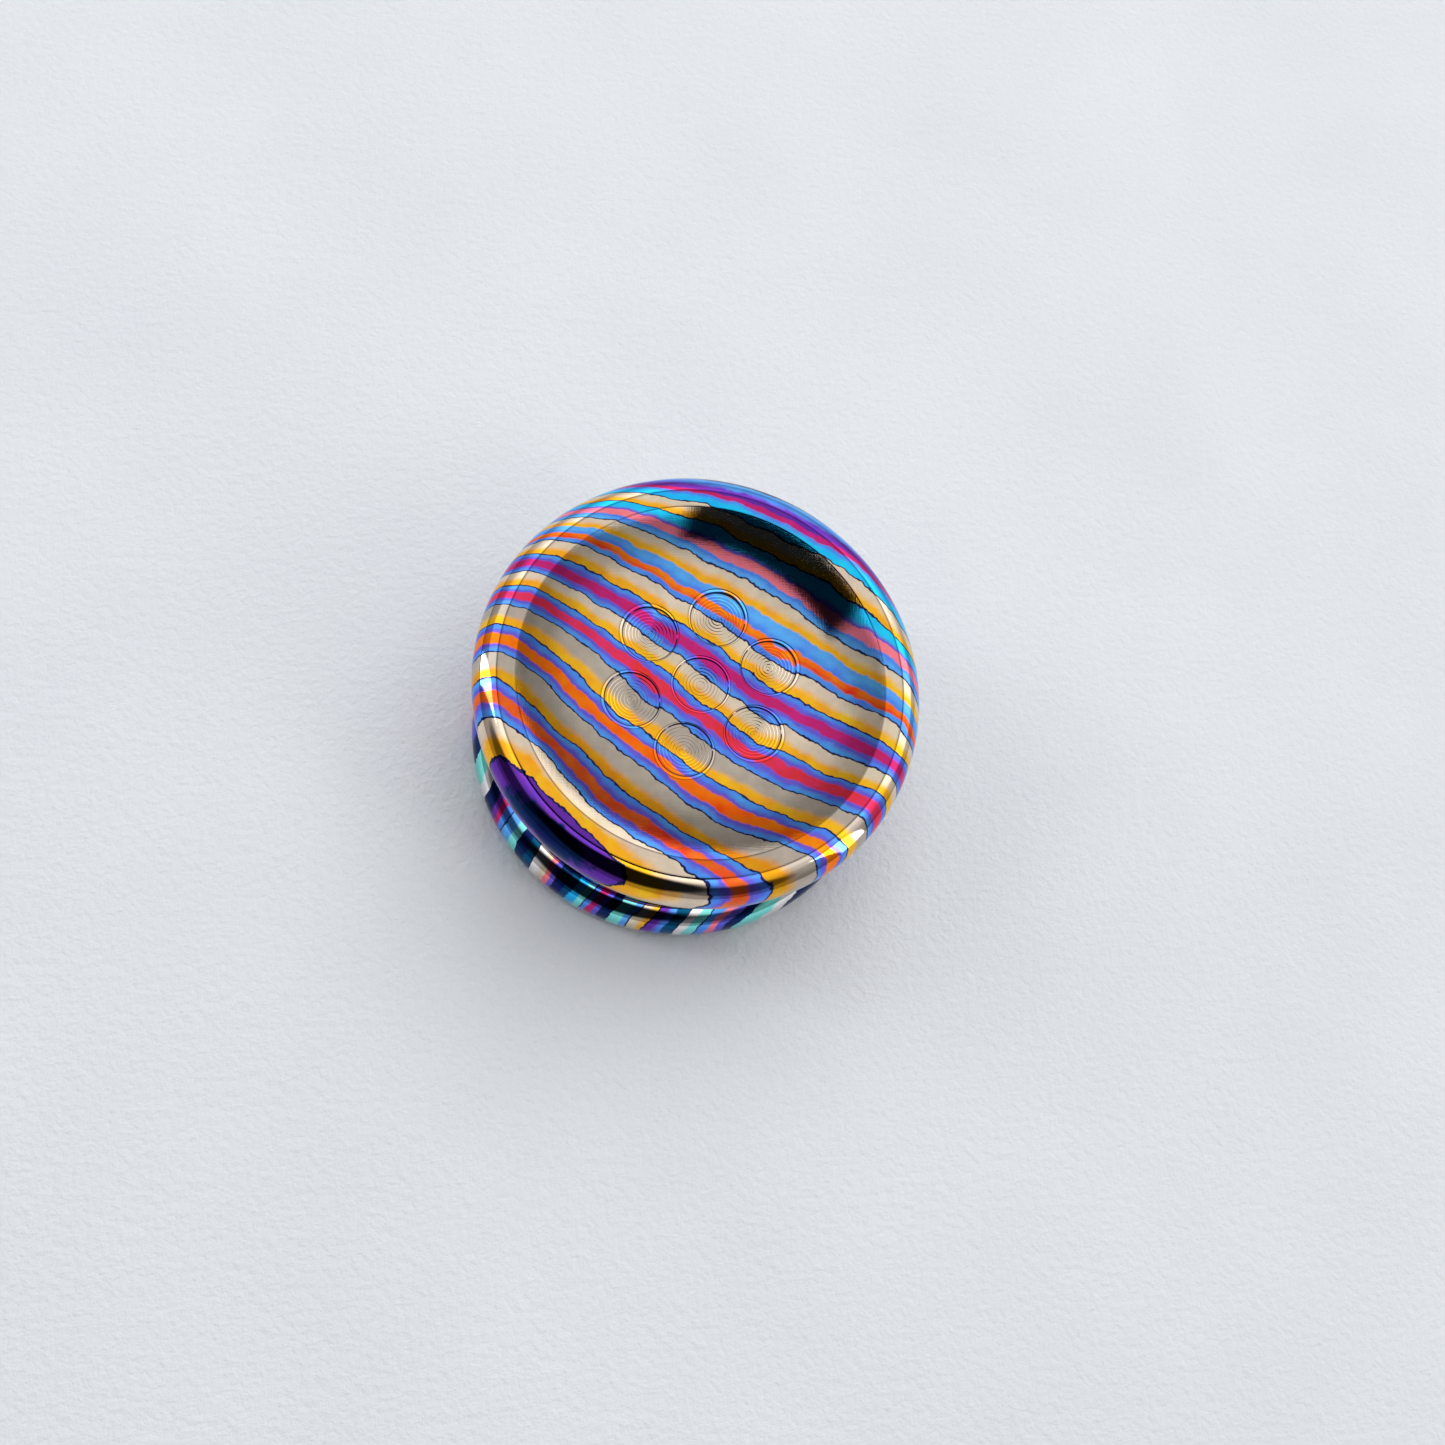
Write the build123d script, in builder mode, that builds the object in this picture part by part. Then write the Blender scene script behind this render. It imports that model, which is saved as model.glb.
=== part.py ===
from build123d import *

import os
from math import asin, cos, degrees, hypot, radians, sin

# Turning button: two dished, round-lipped metal halves on a ball bearing, held together by magnets.
# Millimetres, +Z up, origin at the centre of the resting plane under the lower half's lip.

os.makedirs("parts", exist_ok=True)

# ---------------------------------------------------------------- driving dimensions, halves
button_radius = 16.0
lip_spacing = 11.2
lip_round_radius = 1.9
crest_land_width = 0.6
dish_depth = 1.9
waist_wall = 0.8
waist_land = 0.2
shortest_edge = 0.01
seam_gap = 0.3
seam_chamfer = 0.15

# dimples in each dish: one in the middle and a ring round it
dimple_radius = 2.0
dimple_wall = 0.08
dimple_bowl_depth = 0.12
dimple_ring_radius = 5.1
dimple_count = 6
dimple_first_angle = 15.0

# ---------------------------------------------------------------- driving dimensions, bearing
bearing_bore_radius = 3.175
bearing_outer_radius = 6.35
bearing_width = 4.762
bearing_rise = 0.8
bearing_corner = 0.15
ball_radius = 0.794
ball_count = 10
race_groove_clearance = 0.03
race_land_distance = 0.59
shield_thickness = 0.2
shield_ring_thickness = 0.25
shield_ring_depth = 0.25
shield_ring_gap_angle = 30.0
shield_seat_height = 0.4
shield_ring_bite = 0.15
cage_base_wall = 0.2
cage_finger_height = 0.55

# ---------------------------------------------------------------- driving dimensions, magnets
magnet_radius = 1.25
magnet_thickness = 1.5
magnet_count = 6
magnet_wall = 0.35
carrier_floor = 0.5
screw_count = 3
screw_radius = 0.7
screw_length = 4.0
screw_head_radius = 1.25
screw_head_height = 0.6
screw_cross_width = 0.3
screw_cross_length = 1.4
screw_cross_depth = 0.4

# ---------------------------------------------------------------- driving dimensions, post
post_flange_thickness = 0.8
post_spigot_radius = 2.2
post_spigot_height = 0.8
post_tip_chamfer = 0.4
post_bore_radius = 1.3
post_screw_radius = 1.25
post_screw_head_radius = 2.1
post_screw_head_height = 1.3
post_screw_recess = 0.3
post_screw_grip = 1.7
post_screw_hex_radius = 0.87
post_screw_hex_depth = 0.8
post_tip_setback = 0.2
ring_groove_width = 0.6
ring_cord_radius = 0.24
shim_thickness = 0.2

# ---------------------------------------------------------------- clearances
running_clearance = 0.02
static_clearance = 0.02
moving_gap = 0.3
screw_hole_clearance = 0.05
head_hole_clearance = 0.1
ball_pocket_clearance = 0.05
pocket_relief = 0.25
hole_end_clearance = 0.2
body_wall = 0.65

# ---------------------------------------------------------------- derived heights
mid_height = lip_spacing / 2 + lip_round_radius
overall_height = 2 * mid_height
lip_height = mid_height + lip_spacing / 2
upper_seam = mid_height + seam_gap / 2
lower_seam = mid_height - seam_gap / 2
dish_floor = overall_height - dish_depth
bearing_top = lower_seam + bearing_rise
bearing_bottom = bearing_top - bearing_width
bearing_middle = (bearing_top + bearing_bottom) / 2
upper_recess_top = bearing_top + moving_gap
flange_bottom = bearing_top + shim_thickness
flange_top = flange_bottom + post_flange_thickness
post_tip = bearing_bottom + post_tip_setback
post_screw_seat = post_tip + post_screw_recess + post_screw_head_height
post_screw_end = flange_top + post_spigot_height + post_screw_grip
ring_groove_middle = (post_screw_seat + flange_bottom) / 2
carrier_thickness = magnet_thickness + carrier_floor
shield_seat_depth = shield_ring_depth + shield_ring_thickness + shield_thickness

# ---------------------------------------------------------------- derived radii
lip_circle_radius = button_radius - lip_round_radius
crest_inner_radius = lip_circle_radius - crest_land_width
ball_circle_radius = (bearing_bore_radius + bearing_outer_radius) / 2
race_groove_radius = ball_radius + race_groove_clearance
ball_pocket_radius = ball_radius + ball_pocket_clearance
inner_land_radius = ball_circle_radius - race_land_distance
outer_land_radius = ball_circle_radius + race_land_distance
shield_seat_radius = outer_land_radius + shield_seat_height
shield_inner_radius = inner_land_radius + moving_gap
shield_ring_groove_radius = shield_seat_radius + shield_ring_bite
shaft_radius = bearing_bore_radius - running_clearance
flange_radius = inner_land_radius - static_clearance
carrier_inner_radius = bearing_outer_radius + body_wall
magnet_circle_radius = carrier_inner_radius + magnet_wall + magnet_radius
carrier_outer_radius = magnet_circle_radius + magnet_radius + magnet_wall
waist_radius = carrier_outer_radius + waist_wall
ring_groove_floor = shaft_radius - 2 * ring_cord_radius

# the finger groove's round fills the room between the lip and the waist, whichever way is the shorter
lip_underside = lip_height - lip_round_radius
waist_land_bottom = upper_seam + seam_chamfer
groove_reach = lip_circle_radius - waist_radius
groove_round_radius = min(groove_reach, lip_underside - waist_land_bottom - waist_land)
groove_centre_height = lip_underside - groove_round_radius
groove_edge_radius = waist_radius + groove_round_radius

# the dish is part of a sphere that runs smoothly into the lip's inner round
dish_rise = dish_depth - lip_round_radius
dish_radius = (crest_inner_radius**2 + dish_rise**2 - lip_round_radius**2) / (2 * dish_depth)
dish_centre = dish_floor + dish_radius
dish_tangent_reach = hypot(crest_inner_radius, dish_centre - lip_height)
dish_edge_sine = crest_inner_radius / dish_tangent_reach
dish_edge_angle = degrees(asin(dish_edge_sine))
dimple_tilt = degrees(asin(dimple_ring_radius / dish_radius))
dimple_bowl_radius = (dimple_radius**2 + dimple_bowl_depth**2) / (2 * dimple_bowl_depth)

magnet_angles = [dimple_first_angle + 360 * i / magnet_count for i in range(magnet_count)]
screw_first_angle = dimple_first_angle + 180 / magnet_count
screw_angles = [screw_first_angle + 360 * i / screw_count for i in range(screw_count)]
mid_plane = Plane.XY.offset(mid_height)


def around(centre_x, centre_y, radius, angle):
    """Point on a circle of a profile sketch, angle in degrees from the radial direction."""
    return (centre_x + radius * cos(radians(angle)), centre_y + radius * sin(radians(angle)))


def polar_spots(radius, angles, height):
    """Points at one height round the button's axis."""
    return [(radius * cos(radians(a)), radius * sin(radians(a)), height) for a in angles]


def dimple_planes():
    """Planes touching the dish at every dimple, each facing out of the metal."""
    planes = [Plane(origin=(0, 0, dish_floor), z_dir=(0, 0, 1))]
    drop = dish_radius * cos(radians(dimple_tilt))
    for index in range(dimple_count):
        angle = radians(dimple_first_angle + 360 * index / dimple_count)
        x_side = dimple_ring_radius * cos(angle)
        y_side = dimple_ring_radius * sin(angle)
        planes.append(Plane(origin=(x_side, y_side, dish_centre - drop), z_dir=(-x_side, -y_side, drop)))
    return planes


# ---------------------------------------------------------------- cutter for one dimple
with BuildPart() as dimple_cutter:
    with BuildSketch(Plane.XZ):
        with BuildLine():
            rim_low = (dimple_radius, -dimple_wall)
            bowl_centre = dimple_bowl_radius - dimple_wall - dimple_bowl_depth
            half_angle = degrees(asin(dimple_radius / dimple_bowl_radius)) / 2
            bowl_middle = around(0, bowl_centre, dimple_bowl_radius, -90 + half_angle)
            bowl_bottom = (0, -dimple_wall - dimple_bowl_depth)
            ThreePointArc(bowl_bottom, bowl_middle, rim_low)
            Line(rim_low, (dimple_radius, dish_depth))
            Line((dimple_radius, dish_depth), (0, dish_depth))
            Line((0, dish_depth), bowl_bottom)
        make_face()
    revolve(axis=Axis.Z)


# ---------------------------------------------------------------- shape shared by the two halves
with BuildPart() as half_blank:
    with BuildSketch(Plane.XZ):
        with BuildLine():
            dish_edge = around(0, dish_centre, dish_radius, -90 + dish_edge_angle)
            dish_middle = around(0, dish_centre, dish_radius, -90 + dish_edge_angle / 2)
            ThreePointArc((0, dish_floor), dish_middle, dish_edge)
            round_angle = 90 + dish_edge_angle / 2
            round_middle = around(crest_inner_radius, lip_height, lip_round_radius, round_angle)
            ThreePointArc(dish_edge, round_middle, (crest_inner_radius, overall_height))
            Line((crest_inner_radius, overall_height), (lip_circle_radius, overall_height))
            lip_bottom = (lip_circle_radius, lip_underside)
            ThreePointArc((lip_circle_radius, overall_height), (button_radius, lip_height), lip_bottom)
            groove_top = lip_bottom
            if groove_reach - groove_round_radius > shortest_edge:
                groove_top = (groove_edge_radius, lip_underside)
                Line(lip_bottom, groove_top)
            groove_middle = around(groove_edge_radius, groove_centre_height, groove_round_radius, 135)
            ThreePointArc(groove_top, groove_middle, (waist_radius, groove_centre_height))
            Line((waist_radius, groove_centre_height), (waist_radius, waist_land_bottom))
            Line((waist_radius, waist_land_bottom), (waist_radius - seam_chamfer, upper_seam))
            Line((waist_radius - seam_chamfer, upper_seam), (0, upper_seam))
            Line((0, upper_seam), (0, dish_floor))
        make_face()
    revolve(axis=Axis.Z)
    # recess for the magnet carrier
    with BuildSketch(Plane.XY.offset(upper_seam)):
        Circle(carrier_outer_radius + static_clearance)
        Circle(carrier_inner_radius - static_clearance, mode=Mode.SUBTRACT)
    extrude(amount=carrier_thickness, mode=Mode.SUBTRACT)
    # threaded holes for the carrier's screws
    with BuildSketch(Plane.XY.offset(upper_seam)):
        with Locations(*[(x, y) for x, y, z in polar_spots(magnet_circle_radius, screw_angles, 0)]):
            Circle(screw_radius)
    extrude(amount=screw_length + hole_end_clearance, mode=Mode.SUBTRACT)
    with Locations(*dimple_planes()):
        add(dimple_cutter.part, mode=Mode.SUBTRACT)


# ---------------------------------------------------------------- upper half
with BuildPart() as upper_half:
    add(half_blank.part)
    # room for the top of the bearing
    with BuildSketch(Plane.XY.offset(upper_seam)):
        Circle(carrier_inner_radius)
    extrude(amount=upper_recess_top - upper_seam, mode=Mode.SUBTRACT)
    # seat for the post's flange, its spigot and its screw
    with BuildSketch(Plane.XY.offset(upper_seam)):
        Circle(flange_radius + static_clearance)
    extrude(amount=flange_top - upper_seam, mode=Mode.SUBTRACT)
    with BuildSketch(Plane.XY.offset(flange_top)):
        Circle(post_spigot_radius + static_clearance)
    extrude(amount=post_spigot_height, mode=Mode.SUBTRACT)
    with BuildSketch(Plane.XY.offset(flange_top)):
        Circle(post_screw_radius)
    extrude(amount=post_screw_end + hole_end_clearance - flange_top, mode=Mode.SUBTRACT)
upper_half.part.label = "upper_half"
export_step(upper_half.part, "parts/upper_half.step")


# ---------------------------------------------------------------- lower half
with BuildPart() as lower_half:
    mirror(half_blank.part, about=mid_plane)
    # pocket for the bearing's outer race, deeper under the inner race
    with BuildSketch(Plane.XY.offset(bearing_bottom)):
        Circle(bearing_outer_radius)
    extrude(amount=bearing_width, mode=Mode.SUBTRACT)
    with BuildSketch(Plane.XY.offset(bearing_bottom - pocket_relief)):
        Circle(shield_seat_radius)
    extrude(amount=pocket_relief, mode=Mode.SUBTRACT)
lower_half.part.label = "lower_half"
export_step(lower_half.part, "parts/lower_half.step")


# ---------------------------------------------------------------- bearing, outer race with its shields
with BuildPart() as outer_race:
    with BuildSketch(Plane.XY.offset(bearing_bottom)):
        Circle(bearing_outer_radius)
    extrude(amount=bearing_width)
    chamfer(outer_race.edges().filter_by(GeomType.CIRCLE), length=bearing_corner)
    with BuildSketch(Plane.XY.offset(bearing_bottom)):
        Circle(outer_land_radius)
    extrude(amount=bearing_width, mode=Mode.SUBTRACT)
    # seat of each shield and the groove of the ring that holds it
    for seat_bottom in (bearing_bottom, bearing_top - shield_seat_depth):
        with BuildSketch(Plane.XY.offset(seat_bottom)):
            Circle(shield_seat_radius)
        extrude(amount=shield_seat_depth, mode=Mode.SUBTRACT)
    for groove_bottom in (bearing_bottom, bearing_top - shield_ring_depth - 2 * shield_ring_thickness):
        with BuildSketch(Plane.XY.offset(groove_bottom + shield_ring_depth)):
            Circle(shield_ring_groove_radius)
        extrude(amount=shield_ring_thickness, mode=Mode.SUBTRACT)
    with Locations((0, 0, bearing_middle)):
        Torus(ball_circle_radius, race_groove_radius, mode=Mode.SUBTRACT)
outer_race.part.label = "outer_race"
export_step(outer_race.part, "parts/outer_race.step")

with BuildPart() as upper_shield:
    with BuildSketch(Plane.XY.offset(bearing_top - shield_seat_depth)):
        Circle(shield_seat_radius - static_clearance)
        Circle(shield_inner_radius, mode=Mode.SUBTRACT)
    extrude(amount=shield_thickness)
upper_shield.part.label = "upper_shield"
export_step(upper_shield.part, "parts/upper_shield.step")

with BuildPart() as upper_shield_ring:
    with BuildSketch(Plane.XY.offset(bearing_top - shield_ring_depth - shield_ring_thickness)):
        Circle(shield_ring_groove_radius - static_clearance)
        Circle(outer_land_radius, mode=Mode.SUBTRACT)
        with BuildLine(mode=Mode.PRIVATE) as ring_gap:
            gap_edge = around(0, 0, bearing_outer_radius, shield_ring_gap_angle / 2)
            Polyline((0, 0), gap_edge, (gap_edge[0], -gap_edge[1]), close=True)
        make_face(ring_gap.edges(), mode=Mode.SUBTRACT)
    extrude(amount=shield_ring_thickness)
upper_shield_ring.part.label = "upper_shield_ring"
export_step(upper_shield_ring.part, "parts/upper_shield_ring.step")

bearing_plane = Plane.XY.offset(bearing_middle)

with BuildPart() as lower_shield:
    mirror(upper_shield.part, about=bearing_plane)
lower_shield.part.label = "lower_shield"
export_step(lower_shield.part, "parts/lower_shield.step")

with BuildPart() as lower_shield_ring:
    mirror(upper_shield_ring.part, about=bearing_plane)
lower_shield_ring.part.label = "lower_shield_ring"
export_step(lower_shield_ring.part, "parts/lower_shield_ring.step")

# ---------------------------------------------------------------- bearing, turning pieces
with BuildPart() as inner_race:
    with BuildSketch(Plane.XY.offset(bearing_bottom)):
        Circle(inner_land_radius)
        Circle(bearing_bore_radius, mode=Mode.SUBTRACT)
    extrude(amount=bearing_width)
    chamfer(inner_race.edges().filter_by(GeomType.CIRCLE), length=bearing_corner)
    with Locations((0, 0, bearing_middle)):
        Torus(ball_circle_radius, race_groove_radius, mode=Mode.SUBTRACT)
inner_race.part.label = "inner_race"
export_step(inner_race.part, "parts/inner_race.step")

with BuildPart() as balls:
    with Locations((0, 0, bearing_middle)):
        with PolarLocations(ball_circle_radius, ball_count):
            Sphere(ball_radius)
balls.part.label = "balls"
export_step(balls.part, "parts/balls.step")

with BuildPart() as cage:
    with BuildSketch(Plane.XY.offset(bearing_middle - ball_pocket_radius - cage_base_wall)):
        Circle(outer_land_radius - moving_gap)
        Circle(inner_land_radius + moving_gap, mode=Mode.SUBTRACT)
    extrude(amount=ball_pocket_radius + cage_base_wall + cage_finger_height)
    with Locations((0, 0, bearing_middle)):
        with PolarLocations(ball_circle_radius, ball_count):
            Sphere(ball_pocket_radius, mode=Mode.SUBTRACT)
cage.part.label = "cage"
export_step(cage.part, "parts/cage.step")

# ---------------------------------------------------------------- magnet carriers, magnets, screws
carrier_seat = lower_seam - carrier_thickness

with BuildPart() as lower_carrier:
    with BuildSketch(Plane.XY.offset(carrier_seat)):
        Circle(carrier_outer_radius)
        Circle(carrier_inner_radius, mode=Mode.SUBTRACT)
    extrude(amount=carrier_thickness)
    with Locations(*polar_spots(magnet_circle_radius, magnet_angles, lower_seam)):
        Hole(magnet_radius + static_clearance, depth=magnet_thickness)
    with Locations(*polar_spots(magnet_circle_radius, screw_angles, lower_seam)):
        Hole(screw_radius + screw_hole_clearance, depth=carrier_thickness)
    with Locations(*polar_spots(magnet_circle_radius, screw_angles, lower_seam - screw_head_height / 2)):
        Cone(screw_radius, screw_head_radius, screw_head_height, mode=Mode.SUBTRACT)
lower_carrier.part.label = "lower_carrier"
export_step(lower_carrier.part, "parts/lower_carrier.step")

with BuildPart() as lower_magnets:
    with BuildSketch(Plane.XY.offset(lower_seam - magnet_thickness)):
        with Locations(*[(x, y) for x, y, z in polar_spots(magnet_circle_radius, magnet_angles, 0)]):
            Circle(magnet_radius)
    extrude(amount=magnet_thickness)
lower_magnets.part.label = "lower_magnets"
export_step(lower_magnets.part, "parts/lower_magnets.step")

with BuildPart() as lower_carrier_screws:
    with Locations(*polar_spots(magnet_circle_radius, screw_angles, lower_seam - screw_head_height / 2)):
        Cone(screw_radius, screw_head_radius, screw_head_height)
    with Locations(*polar_spots(magnet_circle_radius, screw_angles, lower_seam - screw_length / 2)):
        Cylinder(screw_radius, screw_length)
    with Locations(*polar_spots(magnet_circle_radius, screw_angles, lower_seam)):
        Box(screw_cross_length, screw_cross_width, 2 * screw_cross_depth, mode=Mode.SUBTRACT)
        Box(screw_cross_width, screw_cross_length, 2 * screw_cross_depth, mode=Mode.SUBTRACT)
lower_carrier_screws.part.label = "lower_carrier_screws"
export_step(lower_carrier_screws.part, "parts/lower_carrier_screws.step")

with BuildPart() as upper_carrier:
    mirror(lower_carrier.part, about=mid_plane)
upper_carrier.part.label = "upper_carrier"
export_step(upper_carrier.part, "parts/upper_carrier.step")

with BuildPart() as upper_magnets:
    mirror(lower_magnets.part, about=mid_plane)
upper_magnets.part.label = "upper_magnets"
export_step(upper_magnets.part, "parts/upper_magnets.step")

with BuildPart() as upper_carrier_screws:
    mirror(lower_carrier_screws.part, about=mid_plane)
upper_carrier_screws.part.label = "upper_carrier_screws"
export_step(upper_carrier_screws.part, "parts/upper_carrier_screws.step")

# ---------------------------------------------------------------- post, its screw, grip ring and shim
with BuildPart() as post:
    with BuildSketch(Plane.XZ):
        with BuildLine():
            Polyline(
                (0, post_tip),
                (shaft_radius - post_tip_chamfer, post_tip),
                (shaft_radius, post_tip + post_tip_chamfer),
                (shaft_radius, flange_bottom),
                (flange_radius, flange_bottom),
                (flange_radius, flange_top),
                (post_spigot_radius, flange_top),
                (post_spigot_radius, flange_top + post_spigot_height),
                (0, flange_top + post_spigot_height),
                close=True,
            )
        make_face()
    revolve(axis=Axis.Z)
    with BuildSketch(Plane.XY.offset(post_tip)):
        Circle(post_bore_radius)
    extrude(amount=flange_top + post_spigot_height - post_tip, mode=Mode.SUBTRACT)
    with BuildSketch(Plane.XY.offset(post_tip)):
        Circle(post_screw_head_radius + head_hole_clearance)
    extrude(amount=post_screw_seat - post_tip, mode=Mode.SUBTRACT)
    with BuildSketch(Plane.XY.offset(ring_groove_middle)):
        Circle(bearing_bore_radius)
        Circle(ring_groove_floor, mode=Mode.SUBTRACT)
    extrude(amount=ring_groove_width / 2, both=True, mode=Mode.SUBTRACT)
post.part.label = "post"
export_step(post.part, "parts/post.step")

with BuildPart() as post_grip_ring:
    with Locations((0, 0, ring_groove_middle)):
        Torus(ring_groove_floor + ring_cord_radius, ring_cord_radius)
post_grip_ring.part.label = "post_grip_ring"
export_step(post_grip_ring.part, "parts/post_grip_ring.step")

with BuildPart() as post_screw:
    with BuildSketch(Plane.XY.offset(post_screw_seat - post_screw_head_height)):
        Circle(post_screw_head_radius)
    extrude(amount=post_screw_head_height)
    with BuildSketch(Plane.XY.offset(post_screw_seat)):
        Circle(post_screw_radius)
    extrude(amount=post_screw_end - post_screw_seat)
    with BuildSketch(Plane.XY.offset(post_screw_seat - post_screw_head_height)):
        RegularPolygon(post_screw_hex_radius, 6)
    extrude(amount=post_screw_hex_depth, mode=Mode.SUBTRACT)
post_screw.part.label = "post_screw"
export_step(post_screw.part, "parts/post_screw.step")

with BuildPart() as gap_shim:
    with BuildSketch(Plane.XY.offset(bearing_top)):
        Circle(flange_radius)
        Circle(shaft_radius + static_clearance, mode=Mode.SUBTRACT)
    extrude(amount=shim_thickness)
gap_shim.part.label = "gap_shim"
export_step(gap_shim.part, "parts/gap_shim.step")
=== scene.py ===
import math

import bpy
import numpy as np
from mathutils import Matrix, Vector
from mathutils.geometry import delaunay_2d_cdt


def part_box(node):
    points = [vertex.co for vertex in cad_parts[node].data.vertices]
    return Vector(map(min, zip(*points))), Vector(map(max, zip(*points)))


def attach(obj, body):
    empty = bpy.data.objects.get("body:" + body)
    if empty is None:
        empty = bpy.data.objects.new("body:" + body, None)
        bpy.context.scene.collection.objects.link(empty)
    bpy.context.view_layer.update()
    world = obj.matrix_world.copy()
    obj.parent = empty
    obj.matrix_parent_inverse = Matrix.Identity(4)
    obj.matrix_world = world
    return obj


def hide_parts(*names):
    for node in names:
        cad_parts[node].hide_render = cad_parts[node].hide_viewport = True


# Turning dealer button: two mirror-polished laminate discs on a ball bearing, held shut by magnets.
# Sizes are in millimetres, in the frame's own place; a mesh is scaled to metres when it is made.

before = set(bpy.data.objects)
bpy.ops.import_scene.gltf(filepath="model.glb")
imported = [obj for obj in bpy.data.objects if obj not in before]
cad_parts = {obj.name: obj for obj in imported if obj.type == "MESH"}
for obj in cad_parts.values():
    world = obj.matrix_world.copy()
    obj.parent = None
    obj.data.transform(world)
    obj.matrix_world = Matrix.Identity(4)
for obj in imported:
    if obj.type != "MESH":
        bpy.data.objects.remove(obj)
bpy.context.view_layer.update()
MM = 1000.0


def mm_box(node):
    low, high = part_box(node)
    return [c * MM for c in low], [c * MM for c in high]


# ---------------------------------------------------------------- sizes, from the frame where it has them
upper_low, upper_high = mm_box("upper_half")
race_low, race_high = mm_box("outer_race")
shim_low, shim_high = mm_box("gap_shim")
carrier_outer, _, carrier_top = mm_box("upper_carrier")[1]
carrier_screw_top = mm_box("upper_carrier_screws")[1][2]
post_flange, _, post_top = mm_box("post")[1]
post_screw_top = mm_box("post_screw")[1][2]

# outside of a disc, given for the upper one
overall = upper_high[2]
seam = upper_low[2]
button_radius = upper_high[0]
lip_round = 1.9
land_width = 0.6
groove_round = 3.1
seam_chamfer = 0.15
waist = carrier_outer + 0.8
lip_circle = button_radius - lip_round
lip_height = overall - lip_round
crest_inner = lip_circle - land_width

# the shallow dish, a part of a sphere that runs into the lip
dish_depth = 1.9
dish_floor = overall - dish_depth
dish_rise = dish_depth - lip_round
dish_radius = (crest_inner**2 + dish_rise**2 - lip_round**2) / (2 * dish_depth)
dish_centre = dish_floor + dish_radius
dish_edge_angle = math.asin(crest_inner / math.hypot(crest_inner, dish_centre - lip_height))

# dimples: one in the middle and a ring of six
dimple_count = 6
dimple_ring = 5.1
dimple_first = math.radians(15)
dimple_radius = 2.0
dimple_wall = 0.08
dimple_bowl = 0.12
dimple_bowl_radius = (dimple_radius**2 + dimple_bowl**2) / (2 * dimple_bowl)
roll_radius = 2.36
roll_drop = 0.04
roll_power = 2.5
step_top_radius = 2.03
step_foot_radius = 1.95
mark_pitch = 0.24
mark_height = 0.013
mark_fade_outside = 0.12
mark_fade_middle = 0.06

# hidden side: magnet carrier's recess and the holes of its screws
fit_gap = 0.02
carrier_inner = 7.0
boss = carrier_inner - fit_gap
screw_ring = 8.6
screw_angles = [math.radians(45 + 120 * i) for i in range(3)]
screw_hole = 0.7
drill_room = 0.2
screw_hole_top = carrier_screw_top + drill_room

# how finely the meshes are divided, and how far their free points keep from an edge
turns = 256
dimple_turns = 96
screw_turns = 24
dish_spacing = 0.4
dish_margin = 0.2
dimple_margin = 0.12
floor_spacing = 0.8
floor_margin = 0.3
hole_margin = 0.2
row_share = 0.866
crest_steps = 20
lip_steps = 48
groove_steps = 32
roll_steps = 8
step_steps = 6
bowl_steps = 48


# ---------------------------------------------------------------- mesh of the two discs
def circle(count):
    """Unit directions, evenly spaced round a circle."""
    angles = [2 * math.pi * i / count for i in range(count)]
    return [(math.cos(a), math.sin(a)) for a in angles]


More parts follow.
